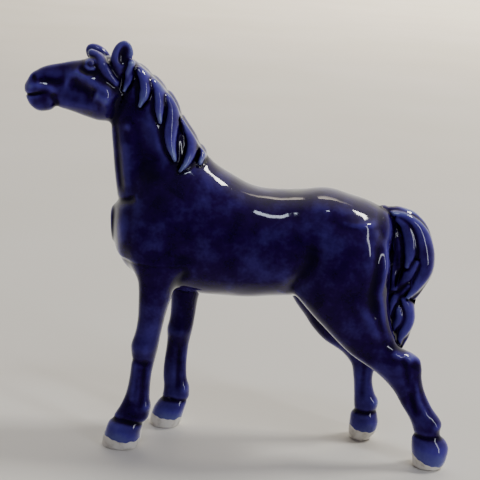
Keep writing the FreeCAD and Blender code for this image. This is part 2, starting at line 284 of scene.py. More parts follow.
class Clay:
    """Signed distance to the skin in millimetres on a cubic lattice, below zero inside the clay."""

    def __init__(self, low, high, step):
        self.low, self.step = np.array(low, float), step
        self.axes = [np.arange(a, b, step, dtype=np.float32) for a, b in zip(low, high)]
        shape = [len(axis) for axis in self.axes]
        self.field = np.full(shape, 9, np.float32)
        self.nearest = np.full(shape, 9, np.float32)
        self.owner = np.zeros(shape, np.int8)

    def window(self, low, high):
        """The part of the lattice inside a box: its slices, and its coordinates as open axes."""
        cut = tuple(slice(*np.searchsorted(axis, (a, b))) for axis, a, b in zip(self.axes, low, high))
        return cut, np.ix_(*(axis[part] for axis, part in zip(self.axes, cut)))

    def add(self, owner, shape, low, high, blend):
        """Join a shape to the lump with a fillet; the lattice points nearest to it become its owner's."""
        cut, axes = self.window(low, high)
        distance = shape(*axes).astype(np.float32)
        self.field[cut] = smooth_min(self.field[cut], distance, blend)
        closer = distance < self.nearest[cut]
        self.owner[cut][closer] = NUMBER[owner]
        self.nearest[cut][closer] = distance[closer]

    def carve(self, shape, low, high, blend):
        """Take a shape away, with a rounded lip."""
        cut, axes = self.window(low, high)
        self.field[cut] = -smooth_min(-self.field[cut], shape(*axes).astype(np.float32), blend)

    def press(self, relief, low, high, only=None):
        """Raise (above zero) or press in the skin by a relief in mm, on one piece only if it is named."""
        cut, axes = self.window(low, high)
        here = 1 if only is None else self.owner[cut] == NUMBER[only]
        self.field[cut] -= (relief(*axes) * here).astype(np.float32)

    def at(self, points):
        """Field at any points, by linear interpolation between the eight lattice points around each."""
        place = (points - self.low) / self.step
        cell = np.clip(np.floor(place).astype(int), 0, np.array(self.field.shape) - 2)
        part = place - cell
        total = 0.0
        for corner in np.ndindex(2, 2, 2):
            weight = np.prod(np.where(corner, part, 1 - part), axis=1)
            total = total + weight * self.field[tuple((cell + corner).T)]
        return total

    def slope(self, points, reach):
        """Gradient of the field, from differences over a reach."""
        steps = np.eye(3) * reach
        return np.column_stack([self.at(points + s) - self.at(points - s) for s in steps]) / (2 * reach)

    def skin_side(self, station, height, hand):
        """Y of the skin at a station and height, met from one side."""
        y = hand * np.linspace(17, -6, 300)
        line = self.at(np.column_stack([np.full(300, station), y, np.full(300, height)]))
        return y[np.argmax(line < 0)]


def casting(rows, upright, side=0.0, power=2.0):
    """Ovals |a/A|^p + |b/B|^p = 1 whose middles and radii run smoothly from slice to slice.

    The distance is (k - 1) / |slope of k| in the plane of each slice, where k is the p-norm of (a/A, b/B).
    """
    def distance(x, y, z):
        at, a = (z, x) if upright else (x, z)
        stations = at.ravel()
        held = np.clip(stations, rows[0][0], rows[-1][0])
        low, high, width = (column.reshape(at.shape) for column in smooth_columns(rows, held))
        middle = side(at) if callable(side) else side
        radius_a, radius_b = np.maximum((high - low) / 2, 0.3), np.maximum(width / 2, 0.3)
        u, v = np.abs(a - (low + high) / 2) / radius_a, np.abs(y - middle) / radius_b
        k = (u ** power + v ** power) ** (1 / power) + 1e-4
        grade_a, grade_b = u ** (power - 1) / radius_a, v ** (power - 1) / radius_b
        steep = np.sqrt(grade_a ** 2 + grade_b ** 2) / k ** (power - 1)
        beyond = np.maximum(at - rows[-1][0], rows[0][0] - at)
        return -smooth_min((1 - k) / (steep + 1e-3), -beyond, 1.0)

    return distance


def swelling(middle, radii, tilt=0.0):
    """Ellipsoid whose long axis is turned by tilt degrees in the XZ plane: (k - 1) k / |slope|."""
    c, s = math.cos(math.radians(tilt)), math.sin(math.radians(tilt))

    def distance(x, y, z):
        dx, dy, dz = x - middle[0], y - middle[1], z - middle[2]
        a, b, e = (dx * c + dz * s) / radii[0], dy / radii[1], (dz * c - dx * s) / radii[2]
        k = np.sqrt(a * a + b * b + e * e) + 1e-4
        steep = np.sqrt((a / radii[0]) ** 2 + (b / radii[1]) ** 2 + (e / radii[2]) ** 2)
        return (k - 1) * k / (steep + 1e-3)

    return distance


def roll(path, radii):
    """Round strand along a path, whose radius runs from the root to the tip."""
    def distance(x, y, z):
        away, share = path_distance(path, x, y, z)
        return away - np.interp(share, np.linspace(0, 1, len(radii)), radii)

    return distance


# ---------------------------------------------------------------- locks and folds
# Rolled strands: path in the XZ plane, half breadth along it, and how far the strand stands out.
MANE = {
    1: ([(-34.8, 113.6), (-35.4, 111.2), (-36.0, 108.6), (-36.8, 106.0)], (1.2, 1.35, 1.2, 0.6), 1.2),
    2: (
        [(-32.6, 112.4), (-31.4, 110.4), (-30.8, 107.6), (-31.2, 104.8), (-32.1, 102.2)],
        (2.0, 1.95, 1.8, 1.5, 0.6),
        1.5,
    ),
    3: (
        [(-28.2, 109.3), (-27.0, 107.2), (-26.5, 104.4), (-26.5, 101.2), (-26.1, 98.0)],
        (2.0, 1.95, 1.75, 1.45, 0.6),
        1.5,
    ),
    4: (
        [(-23.6, 105.0), (-22.5, 102.4), (-22.5, 99.2), (-23.0, 95.4), (-22.6, 91.6), (-21.3, 87.8)],
        (2.2, 2.4, 2.3, 2.0, 1.5, 0.6),
        1.7,
    ),
    5: (
        [(-19.4, 98.8), (-17.8, 96.2), (-16.8, 93.4), (-16.8, 90.4), (-17.9, 87.4), (-19.6, 85.0)],
        (1.7, 2.0, 1.9, 1.8, 1.3, 0.5),
        1.6,
    ),
    6: ([(-15.4, 94.2), (-14.2, 92.0), (-13.5, 89.6), (-14.2, 87.2)], (1.2, 1.4, 1.3, 0.8), 1.2),
}
TAIL_STRANDS = {
    1: [
        (
            [(42.1, 75.6), (45.5, 75.6), (48.5, 74.2), (50.9, 71.6), (52.5, 67.4), (53.2, 62.9), (53.0, 59.3),
             (51.6, 56.4), (49.8, 53.5), (48.3, 51.6)],
            (1.2, 1.9, 2.4, 2.7, 2.9, 2.9, 2.6, 2.1, 1.6, 0.9),
            1.0,
        ),
    ],
    2: [
        (
            [(43.6, 74.0), (45.9, 72.4), (47.5, 69.0), (48.0, 64.6), (47.4, 60.8)],
            (1.2, 1.8, 2.0, 1.9, 0.9),
            0.8,
        ),
        ([(50.3, 62.0), (47.7, 57.6), (44.8, 54.0)], (1.0, 1.8, 1.0), 0.7),
    ],
    3: [
        (
            [(42.4, 72.4), (43.6, 68.0), (44.5, 63.6), (44.4, 58.6), (43.9, 53.8)],
            (0.9, 1.3, 1.4, 1.3, 0.7),
            0.45,
        ),
        ([(48.5, 55.0), (45.4, 51.6), (43.9, 48.8), (43.5, 45.4)], (0.9, 1.3, 1.2, 0.6), 0.6),
    ],
    4: [
        (
            [(47.3, 51.0), (49.3, 48.2), (49.9, 45.6), (49.2, 42.8), (47.5, 39.4), (47.3, 37.0)],
            (1.0, 1.8, 2.0, 1.8, 1.3, 0.7),
            0.8,
        ),
        ([(46.3, 48.0), (46.7, 45.0), (45.5, 42.6), (45.0, 40.8)], (0.9, 1.3, 1.2, 0.5), 0.6),
    ],
}
# Folds on both sides: path in the XZ plane, reach across, and height (below zero is pressed in).
BODY_FOLDS = [
    ([(-19, 78), (-24, 70), (-28.5, 61)], 4.0, 0.5),  # shoulder blade
    ([(-16.5, 75), (-15.5, 66), (-16.5, 57)], 3.2, -0.5),  # behind the shoulder
    ([(-39, 73.0), (-36, 74.4), (-31.5, 76.2)], 1.1, -0.7),  # crease of neck and breast
    ([(-34.0, 66.5), (-32.0, 62.5)], 4.0, 0.9),  # breast
    ([(-39.4, 99.0), (-38.6, 94.6), (-37.6, 86.8), (-36.6, 80.0), (-35.6, 75.1)], 1.0, -0.4),  # windpipe
    ([(-35.5, 96.0)], 1.3, 0.5),  # throat
    ([(-35.6, 90.0), (-34.6, 80.0)], 1.4, 0.3),
    ([(-32.5, 98.0), (-31.5, 90.0), (-30.5, 81.0)], 2.2, -0.5),  # groove of the jugular
    ([(-31.0, 100.6), (-28.0, 96.1), (-26.0, 91.8), (-24.4, 87.2), (-25.0, 82.7)], 2.2, 0.5),  # neck muscle
    ([(12.6, 51.0), (16.2, 57.0), (19.0, 61.8), (20.6, 70.5)], 2.4, -0.8),  # flank fold
    ([(27.0, 66.0), (27.0, 58.0)], 6.5, 0.8),  # thigh
    ([(18.0, 77.6), (25.0, 76.8), (34.0, 74.0), (40.0, 71.8)], 2.2, 0.5),  # croup
    ([(-14.8, 57.6), (-18.2, 53.8), (-20.6, 47.0)], 1.5, -0.4),  # elbow
]
LEG_FOLDS = {
    "hindleg_left": [
        ([(40.4, 72), (40.9, 62), (39.8, 54), (41.8, 45), (44.0, 39.0)], 1.0, 0.5),  # back of the thigh
        ([(37.8, 71), (38.0, 62), (37.0, 54), (39.0, 46)], 1.3, -0.45),
        ([(32.0, 54.0), (36.5, 46.5), (41.6, 39.0)], 1.8, 0.5),
        ([(46.0, 35.8), (50.5, 34.6)], 1.3, 0.5),  # hock
        ([(47.6, 37.6), (49.6, 31.0), (51.0, 25.0)], 1.1, -0.25),
        ([(52.8, 28.0), (54.4, 21.5), (58.0, 16.0)], 0.8, 0.3),
        ([(51.0, 25.0), (52.6, 21.0), (54.6, 16.0)], 1.0, -0.25),
        ([(60.6, 13.4)], 1.5, 0.5),  # fetlock
        ([(52.0, 10.4), (58.0, 10.0), (65.6, 10.0)], 0.9, -0.5),  # coronet
        ([(56.0, 5.0), (61.0, 5.0)], 2.4, 0.3),
    ],
    "hindleg_right": [
        ([(38.0, 68), (38.4, 60), (37.6, 52), (38.6, 44)], 1.0, 0.5),
        ([(24.0, 50.0), (30.0, 41.0), (36.0, 33.0)], 1.8, 0.4),
        ([(41.0, 31.0)], 1.5, 0.4),
        ([(39.4, 27.0), (39.4, 20.0), (39.6, 13.0)], 1.0, -0.25),
        ([(44.0, 12.4)], 1.4, 0.5),
        ([(36.0, 9.3), (41.0, 9.3), (46.0, 9.6)], 0.8, -0.5),
    ],
    "foreleg_left": [
        ([(-29.6, 32.0), (-27.0, 31.6)], 1.9, 0.5),  # knee
        ([(-30.6, 27.6), (-26.0, 27.2)], 1.0, -0.25),
        ([(-26.7, 29.0), (-27.0, 18.0), (-27.6, 12.0)], 1.0, -0.35),  # tendon
        ([(-29.4, 27.0), (-30.2, 16.0)], 0.9, 0.25),
        ([(-25.4, 13.2)], 1.4, 0.5),
        ([(-37.4, 8.6), (-32.0, 8.8), (-25.0, 7.6)], 0.8, -0.55),
        ([(-34.0, 5.0), (-30.0, 4.6)], 2.4, 0.3),
    ],
    "foreleg_right": [
        ([(-20.6, 31.6), (-17.6, 31.4)], 1.9, 0.5),
        ([(-17.6, 28.6), (-17.6, 20.0), (-17.6, 12.0)], 1.0, -0.35),
        ([(-15.2, 12.6)], 1.4, 0.5),
        ([(-24.0, 8.8), (-19.0, 9.2), (-13.6, 8.6)], 0.8, -0.5),
        ([(-22.0, 4.8), (-18.0, 4.6)], 2.4, 0.3),
    ],
}
HEAD_FOLDS = [
    (  # cheekbone
        [(-54.0, 109.6), (-50.2, 110.0), (-47.2, 108.9), (-44.6, 107.4), (-41.5, 105.9), (-38.6, 103.4)],
        1.4,
        0.95,
    ),
    ([(-52.8, 107.4), (-48.9, 105.8), (-44.4, 104.0)], 1.8, -0.85),  # hollow of the cheek
    ([(-60.8, 107.5), (-57.2, 107.5), (-53.2, 107.2)], 1.3, -0.5),
    ([(-55.2, 101.4), (-49.0, 100.9), (-43.6, 100.4)], 1.5, 0.5),  # lower jaw
    ([(-42.2, 103.0)], 3.4, 0.7),  # cheek
    ([(-43.6, 104.4), (-41.6, 103.2)], 1.5, 1.0),  # angle of the jaw
    ([(-65.6, 105.0), (-61.4, 105.9), (-58.4, 105.6), (-55.0, 104.4)], 1.0, 0.5),  # upper lip
    ([(-68.0, 102.7), (-65.0, 103.0), (-62.5, 103.3), (-59.2, 104.1)], 0.42, -0.75),  # mouth
    ([(-65.0, 107.4), (-60.6, 107.5)], 0.8, -0.2),
    ([(-62.4, 108.2)], 0.6, -0.4),  # nostril
    ([(-56.8, 104.2), (-56.1, 101.3), (-56.2, 98.0)], 1.0, -0.6),  # chin groove
    ([(-62.0, 111.0), (-55.0, 112.6), (-50.0, 113.6)], 0.9, 0.25),  # bridge of the nose
    ([(-48.4, 112.7), (-47.1, 113.9), (-45.6, 114.0), (-44.5, 112.8)], 0.55, 0.7),  # upper lid
    ([(-48.4, 112.5), (-46.7, 111.4), (-44.9, 111.9)], 0.55, 0.6),  # lower lid
    ([(-50.0, 111.4), (-47.4, 110.3), (-44.2, 110.6)], 0.7, -0.4),
    ([(-43.6, 112.2), (-41.6, 109.6), (-39.2, 107.0)], 0.8, -0.9),  # behind the forelock
]
GLAZE_LINES = {  # foot: middle station, height there, rise per length towards the toe and its curve
    "forefoot_left": (-33.0, 2.9, 0.10, 0.020),
    "forefoot_right": (-20.6, 3.2, 0.06, 0.020),
    "hindfoot_left": (59.5, 2.0, 0.30, 0.030),
    "hindfoot_right": (41.0, 3.4, 0.12, 0.030),
}
PIECES = sorted(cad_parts)
NUMBER = {name: index for index, name in enumerate(PIECES)}


def fold(path, reach, height):
    """Relief height * exp(-(d / reach)^2) about a path in the XZ plane, fading at the ends of a long path."""
    if len(path) == 1:
        path = [path[0], (path[0][0], path[0][1] + 0.01)]

    def relief(x, z):
        away, share = path_distance(path, x, z)
        fade = np.clip(6 * share * (1 - share), 0, 1) if len(path) > 2 else 1.0
        return height * fade * np.exp(-(away / reach) ** 2)

    return relief


def strand_reach(strand, x, z):
    """1 - (d / breadth)^2 about a rolled strand: above zero inside its outline."""
    path, breadths, _ = strand
    away, share = path_distance(rounded_path(path, 24), x, z)
    return 1 - (away / np.interp(share, np.linspace(0, 1, len(breadths)), breadths)) ** 2


def strands_relief(laid, pressed=0.3):
    """Rounded relief of strands laid side by side, where the highest counts, less the lines beside them.

    The lines are deepest just outside an outline, rise quickly towards it and slowly away from it.
    """
    def relief(x, z):
        raised, beside = 0.0, 0.0
        for strand in laid:
            inside = strand_reach(strand, x, z)
            raised = np.maximum(raised, strand[2] * np.maximum(inside, 0) ** 0.65)
            away = (inside + 0.7) / np.where(inside > -0.7, 0.8, 1.8)
            beside = np.maximum(beside, np.exp(-away ** 2))
        return raised - pressed * beside * np.clip(1 - raised / 0.8, 0, 1)

    return relief


def on_side(relief, hand, middle=0.0, soft=1.2):
    """The same relief on one side of the middle only (hand 0: on both), eased in over a soft edge."""
    def sided(x, y, z):
        if hand == 0:
            return relief(x, z) * np.ones_like(y)
        centre = middle(x) if callable(middle) else middle
        share = np.clip(0.5 + hand * (y - centre) / soft, 0, 1)
        return relief(x, z) * share ** 2 * (3 - 2 * share)

    return sided


def strands():
    """Every rolled strand that lies on a casting: piece name, side, strand."""
    for hand, word in SIDES:
        for number, strand in MANE.items():
            yield f"mane_lock_{word}_{number}", hand, strand
        for number, parts in TAIL_STRANDS.items():
            for strand in parts:
                yield f"tail_strand_{word}_{number}", hand, strand


def vent(x, y, z):
    """Upright round hole: distance from its axis less its radius, at every height."""
    return np.hypot(x - VENT_STATION, y) - VENT_RADIUS + 0 * z


@functools.lru_cache(maxsize=1)
def modelled_clay():
    """The whole figure as one lump."""
    step = bpy.context.scene.horse_clay.lattice * 1000 * 1
    clay = Clay((-67.5, -18, -1.5), (67.8, 18, 122), step)
    clay.add("trunk", casting(TRUNK, False, power=2.15), (-44, -18, 40), (50, 18, 92), 1.0)
    clay.add("neck", casting(NECK, True, power=2.1), (-46, -16, 58), (4, 16, 120), 7.0)
    for name, rows, front, rear in (
        ("foreleg_left", FORELEG_LEFT, -46, -2),
        ("foreleg_right", FORELEG_RIGHT, -46, -2),
        ("hindleg_left", HINDLEG_LEFT, 12, 67.8),
        ("hindleg_right", HINDLEG_RIGHT, 12, 67.8),
    ):
        hand = -1 if "left" in name else 1
        inner, outer = sorted((0, hand * 18))
        window = (front, inner, -1.5), (rear, outer, 76)
        clay.add(name, casting(rows, True, hand * TRACK), *window, 3.0)
        for path, reach, height in LEG_FOLDS[name]:
            clay.press(on_side(fold(path, reach, height), hand), *window)
    for path, reach, height in BODY_FOLDS:
        clay.press(on_side(fold(path, reach, height), 0), *BODY_WINDOW)

    clay.add("tail", casting(TAIL, True, tail_side), *TAIL_WINDOW, 1.2)
    # The tail was luted to the buttock, so slip fills the crease between them.
    web = [(42.0, -1.6, 70.0), (42.4, -2.8, 63.0), (43.2, -3.8, 56.0), (44.6, -4.4, 49.0), (46.4, -4.8, 41.5)]
    slip = roll(rounded_path(web, 24), (1.6, 2.2, 2.3, 2.2, 1.5))
    clay.add("tail", slip, (37, -9, 38), (50, 4, 74), 1.0)
    clay.add("head", casting(HEAD, False, head_side, 2.3), (-67.5, -14, 92), (-32, 12, 119), 2.0)
    chin = swelling((-60.4, head_side(-60.4), 101.0), (2.9, 2.9, 2.7))
    clay.add("head", chin, (-67.5, -8, 94), (-54, 4, 108), 0.8)
    for path, reach, height in HEAD_FOLDS:
        for hand, _ in SIDES:
            clay.press(on_side(fold(path, reach, height), hand, head_side), *FACE_WINDOW)

    for word, (leaf, leaf_radii, cup, cup_radii, tilt, *window) in EARS.items():
        clay.add(f"ear_{word}", swelling(leaf, leaf_radii, tilt), *window, 1.0)
        clay.carve(swelling(cup, cup_radii, tilt), *window, 0.5)

    path = [(-46.8, 115.5), (-44.4, 114.3), (-42.8, 112.1), (-41.3, 110.0), (-39.5, 108.0)]
    laid = [(x, clay.skin_side(x, z, -1) + 0.2, z) for x, z in path[1:]]
    laid.insert(0, (path[0][0], laid[0][1] + 1.4, path[0][1]))
    forelock = roll(rounded_path(laid, 20), (1.1, 1.5, 1.7, 1.8, 1.2))
    clay.add("forelock", forelock, (-51, -12, 104), (-36, 2, 120), 0.4)

    tail_laid = [strand for parts in TAIL_STRANDS.values() for strand in parts]
    for hand, _ in SIDES:
        mane = strands_relief(list(MANE.values()))
        clay.press(on_side(mane, hand, 1.9 * hand, 3.6), *MANE_WINDOW)
        tail_relief = on_side(strands_relief(tail_laid), hand, -1.5 + 0.8 * hand, 1.6)
        clay.press(tail_relief, (38, -14, 34), (60, 10, 82), "tail")

    # Slow unevenness of a hand-finished cast, a tenth of a millimetre high every 6 to 14 mm.
    x, y, z = np.ix_(*clay.axes)
    uneven = np.sin(x / 2.1 + np.sin(z / 3.7)) * np.sin(y / 2.3 + 1)
    uneven = uneven + np.sin(z / 1.9 + np.sin(x / 2.9 + y / 3.1))
    clay.field += (0.045 * uneven).astype(np.float32)
    clay.carve(vent, (2, -4, 42), (10, 4, 53), 0.4)
    clay.field = -smooth_min(-clay.field, z, 0.6)
    return clay


# ---------------------------------------------------------------- skin of the clay, parted into pieces
def net_over(field):
    """Net over the zero surface: a point in each cell that it crosses, and a quad over each crossed edge.

    A cell's point is the mean of the places where the field changes sign along the cell's twelve edges.
    """
    inside = field < 0
    corners = list(np.ndindex(2, 2, 2))
    trimmed = [n - 1 for n in field.shape]
    count = sum(
        inside[tuple(slice(c, c + n) for c, n in zip(corner, trimmed))].astype(np.int8) for corner in corners
    )
    cells = np.argwhere((count > 0) & (count < 8))
    number = np.full(count.shape, -1, np.int32)
    number[tuple(cells.T)] = np.arange(len(cells))
    value = {corner: field[tuple((cells + corner).T)] for corner in corners}
    total, hits = np.zeros((len(cells), 3)), np.zeros(len(cells))
    quads = []
    for axis in range(3):
        step = np.eye(3, dtype=int)[axis]
        for corner in corners:
            if corner[axis]:
                continue
            a, b = value[corner], value[tuple(np.array(corner) + step)]
            crossed = (a < 0) != (b < 0)
            share = np.where(crossed, a / np.where(crossed, a - b, 1), 0)
            total += np.where(crossed[:, None], np.array(corner) + share[:, None] * step, 0)
            hits += crossed
        cuts = [[slice(1, n - 1) for n in field.shape] for _ in range(2)]
        cuts[0][axis], cuts[1][axis] = slice(0, -1), slice(1, None)
        first, second = (inside[tuple(cut)] for cut in cuts)
        start = np.argwhere(first != second) + [0 if i == axis else 1 for i in range(3)]
        leaving = first[first != second]
        b, c = (np.eye(3, dtype=int)[(axis + k) % 3] for k in (1, 2))
        around = np.stack([number[tuple((start - o).T)] for o in (b + c, c, 0 * b, b)], axis=1)
        quads.append(np.where(leaving[:, None], around, around[:, ::-1]))
    return cells + total / hits[:, None], np.concatenate(quads)


def glaze_line(foot, points):
    """How far points are above the wiped edge of a foot, which climbs towards the toe and heel."""
    middle, height, rise, curve = GLAZE_LINES[foot]
    along = points[:, 0] - middle
    wave = 0.14 * np.sin(1.7 * points[:, 1] + 0.9 * points[:, 0])
    ripple = 0.1 * np.sin(2.9 * points[:, 0])
    return points[:, 2] - (height - rise * along + curve * along ** 2 + wave + ripple)


def owners_at(clay, points):
    """Number of the piece that each point of the skin belongs to."""
    cell = np.rint((points - clay.low) / clay.step).astype(int)
    cell = np.clip(cell, 0, np.array(clay.owner.shape) - 1)
    owner = clay.owner[tuple(cell.T)].copy()
    bedded = np.isin(owner, [NUMBER[n] for n in ("neck", "trunk", "tail")])
    for name, hand, strand in strands():
        middle = 0.0 if "mane" in name else tail_side(points[:, 2])
        over = (strand_reach(strand, points[:, 0], points[:, 2]) > 0) & (hand * (points[:, 1] - middle) > 0)
        owner[over & bedded] = NUMBER[name]
    for foot in GLAZE_LINES:
        leg = (owner == NUMBER[foot.replace("foot", "leg")]) & (points[:, 2] < ANKLE)
        owner[leg & (glaze_line(foot, points) < 0)] = NUMBER[foot]
    return owner


def edges_of(quads):
    """Both ends of every edge of the quads, all first edges before all second ones."""
    return np.concatenate([quads[:, [i, (i + 1) % 4]] for i in range(4)])


def linked(count, left, right):
    """Lowest number that each of count things is linked to, by pairs of linked things."""
    group = np.arange(count)
    while True:
        before = group.copy()
        low = np.minimum(group[left], group[right])
        np.minimum.at(group, left, low)
        np.minimum.at(group, right, low)
        group = group[group]
        if np.array_equal(before, group):
            return group


def without_scraps(owner, quads, points):
    """Give each small scrap of a piece to the piece around it."""
    edges = np.sort(edges_of(quads), axis=1)
    face = np.tile(np.arange(len(quads)), 4)
    key = edges[:, 0].astype(np.int64) * len(points) + edges[:, 1]
    order = np.argsort(key, kind="stable")
    same = key[order][:-1] == key[order][1:]
    left, right = face[order][:-1][same], face[order][1:][same]
    for _ in range(3):
        joined = owner[left] == owner[right]
        group = linked(len(quads), left[joined], right[joined])
        scrap = np.bincount(group, minlength=len(quads))[group] < LEAST_FACES
        for a, b in ((left, right), (right, left)):
            taken = scrap[a] & ~scrap[b]
            owner[a[taken]] = owner[b[taken]]
    return owner


@functools.lru_cache(maxsize=1)
def skin():
    """Points, outward directions, glaze thinness with painted shade in hollows and creases, quads and owner
    of each quad.
    """
    clay = modelled_clay()
    points, quads = net_over(clay.field)
    points = points * clay.step + clay.low
    for _ in range(2):
        slope = clay.slope(points, 0.5 * clay.step)
        points -= clay.at(points)[:, None] * slope / np.maximum((slope ** 2).sum(1), 0.2)[:, None]
    owner = owners_at(clay, points[quads].mean(axis=1))
    owner = without_scraps(owner, quads, points)
    for foot in GLAZE_LINES:
        bare = np.zeros(len(points), bool)
        bare[quads[owner == NUMBER[foot]]] = True
        glazed = np.zeros(len(points), bool)
        glazed[quads[owner == NUMBER[foot.replace("foot", "leg")]]] = True
        edge = bare & glazed
        points[edge, 2] -= glaze_line(foot, points[edge])
    outward = clay.slope(points, 1.5 * clay.step)
    outward /= np.linalg.norm(outward, axis=1)[:, None]
    # Thinness: how far the mean of the field on a small ball's axes lies above the field at its middle. Below
    # zero, in hollows and creases, it darkens the glaze as pooled glaze and as painted shade.
    corners = [[a, b, c] for a in (-0.58, 0.58) for b in (-0.58, 0.58) for c in (-0.58, 0.58)]
    ball_axes = np.vstack([np.eye(3), -np.eye(3), corners])
    thinness_and_shade = np.zeros(len(points))
    for reach in (0.9, 1.8):
        for direction in ball_axes:
            thinness_and_shade += (clay.at(points + direction * reach) - clay.at(points)) / (len(ball_axes) * reach)
    thinness_and_shade = np.maximum(thinness_and_shade, -0.16)
    # The glaze was wiped back above each foot, and lies thinner on the small head.
    wiped, small = (WIPED - points[:, 2]) / WIPED_FADE, (-36 - points[:, 0]) / 8
    thinness_and_shade += WIPED_THIN * np.clip(wiped, 0, 1) + 0.04 * np.clip(small, 0, 1)
    return points, outward, thinness_and_shade, quads, owner


def part_of_skin(name):
    """One closed piece: its part of the skin, and a cap inside the clay behind each open edge."""
    points, outward, thinness_and_shade, quads, owner = skin()
    faces = quads[owner == NUMBER[name]]
    used, faces = np.unique(faces, return_inverse=True)
    faces = faces.reshape(-1, 4)
    points, outward, thinness_and_shade = points[used], outward[used], thinness_and_shade[used]
    edges = edges_of(faces)
    forward = edges[:, 0].astype(np.int64) * len(points) + edges[:, 1]
    backward = edges[:, 1].astype(np.int64) * len(points) + edges[:, 0]
    rim = edges[~np.isin(forward, backward)]
    group = linked(len(points), rim[:, 0], rim[:, 1])
    loops, which = np.unique(group[rim[:, 0]], return_inverse=True)
    caps = []
    for index in range(len(loops)):
        ring = rim[which == index]
        behind = points[ring[:, 0]].mean(0) - CAP_DEPTH * outward[ring[:, 0]].mean(0)
        caps.append(np.column_stack([ring[:, 1], ring[:, 0], np.full(len(ring), len(points))]))
        points = np.vstack([points, behind])
        outward = np.vstack([outward, -outward[ring[:, 0]].mean(0)])
        thinness_and_shade = np.append(thinness_and_shade, 0)
    polygons = faces.tolist() + (np.concatenate(caps).tolist() if caps else [])
    return points, outward, thinness_and_shade, polygons


def new_piece(name, points, polygons, material, nodes, outward, thinness_and_shade):
    """Mesh piece in metres that rides on the figure and stands for its CAD nodes."""
    mesh = bpy.data.meshes.new(name)
    mesh.from_pydata((np.asarray(points) * MM).tolist(), [], polygons)
    mesh.update()
    mesh.polygons.foreach_set("use_smooth", np.ones(len(mesh.polygons), bool))
    # Glaze thinness, which also darkens hollows and creases as painted shade.
    attribute = mesh.attributes.new("glaze_thinness_and_shade", "FLOAT", "POINT")
    attribute.data.foreach_set("value", np.asarray(thinness_and_shade, np.float32))
    mesh.normals_split_custom_set_from_vertices(outward.tolist())
    mesh.materials.append(material)
    piece = bpy.data.objects.new(name, mesh)
    bpy.context.scene.collection.objects.link(piece)
    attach(piece, "root")
    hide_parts(*nodes)
    return piece


def clay_pieces(names):
    """Make pieces from the skin, glazed or bare."""
    for name in names:
        points, outward, thinness_and_shade, polygons = part_of_skin(name)
        material = bare_porcelain() if "foot_" in name else cobalt_glaze()
        new_piece(f"{name}_skin", points, polygons, material, [name], outward, thinness_and_shade)


# ---------------------------------------------------------------- materials
def linear(hex_colour):
    """sRGB hex to linear RGBA: ((c + 0.055) / 1.055)^2.4, or c / 12.92 near black."""
    parts = [int(hex_colour[i : i + 2], 16) / 255 for i in (1, 3, 5)]
    return [c / 12.92 if c <= 0.04045 else ((c + 0.055) / 1.055) ** 2.4 for c in parts] + [1.0]


def add_node(holder, kind, links=(), **settings):
    """A node of a material or world, with its settings and the links into it: (input, node, output)."""
    tree = holder.node_tree
    node = tree.nodes.new(kind)
    for key, value in settings.items():
        if key in node.inputs:
            node.inputs[key].default_value = value
        else:
            setattr(node, key, value)
    for socket, source, output in links:
        tree.links.new(source.outputs[output], node.inputs[socket])
    return node


def new_material(name):
    """Material with an empty node tree."""
    material = bpy.data.materials.new(name)
    material.use_nodes = True
    material.node_tree.nodes.clear()
    return material


def set_ramp(ramp, stops):
    """Stops of a colour ramp: place and hex colour."""
    elements = ramp.color_ramp.elements
    while len(elements) < len(stops):
        elements.new(0.5)
    for element, (place, colour) in zip(elements, stops):
        element.position, element.color = place, linear(colour)


@functools.lru_cache(maxsize=1)
def cobalt_glaze():
    """Cobalt-blue glass glaze, dipped: near black where it pools in hollows and creases, partly pooled glaze
    and partly painted shade, greyer blue where it runs thinner.
    """
    look = bpy.context.scene.horse_finish
    m = new_material("cobalt_glaze_dipped")
    place = add_node(m, "ShaderNodeTexCoord")
    # The thinness attribute also carries painted shade in hollows and creases.
    thinness_and_shade = add_node(m, "ShaderNodeAttribute", attribute_name="glaze_thinness_and_shade")
    cloud = add_node(
        m, "ShaderNodeTexNoise", [("Vector", place, "Object")], Scale=115.0, Detail=3.0, Roughness=0.55
    )  # drifts of thicker glaze every 9 mm
    grain = add_node(
        m, "ShaderNodeTexNoise", [("Vector", place, "Object")], Scale=1100.0, Detail=2.0
    )  # cobalt specks just under 1 mm, the least that shows
    drift = add_node(
        m, "ShaderNodeMapRange", [("Value", cloud, "Fac")],
        **{"From Min": 0.3, "From Max": 0.7, "To Min": -0.14, "To Max": 0.14},
    )
    speck = add_node(
        m, "ShaderNodeMapRange", [("Value", grain, "Fac")],
        **{"From Min": 0.35, "From Max": 0.75, "To Min": -0.02, "To Max": 0.03},
    )
    both = add_node(m, "ShaderNodeMath", [(0, thinness_and_shade, "Fac"), (1, drift, "Result")], operation="ADD")
    amount = add_node(m, "ShaderNodeMath", [(0, both, "Value"), (1, speck, "Result")], operation="ADD")
    spread = add_node(
        m, "ShaderNodeMapRange", [("Value", amount, "Value")], **{"From Min": -0.25, "From Max": 0.85}
    )
    colour = add_node(m, "ShaderNodeValToRGB", [("Fac", spread, "Result")])
    # The two darkest stops colour hollows and creases, as pooled glaze and as painted shade.
    pooled_and_shaded = [(0.0, "#07021a"), (0.12, look.deep_hex)]
    set_ramp(colour, pooled_and_shaded + [(0.25, look.body_hex), (0.6, look.ridge_hex), (1.0, "#6a74ac")])
    ripple = add_node(m, "ShaderNodeTexNoise", [("Vector", place, "Object")], Scale=260.0, Detail=1.5)
    bump = add_node(m, "ShaderNodeBump", [("Height", ripple, "Fac")], Strength=0.06, Distance=0.0012)
    shader = add_node(
        m,
        "ShaderNodeBsdfPrincipled",
        [("Base Color", colour, "Color"), ("Normal", bump, "Normal")],
        Roughness=look.gloss,
        IOR=1.52,
    )
    add_node(m, "ShaderNodeOutputMaterial", [("Surface", shader, "BSDF")])
    return m


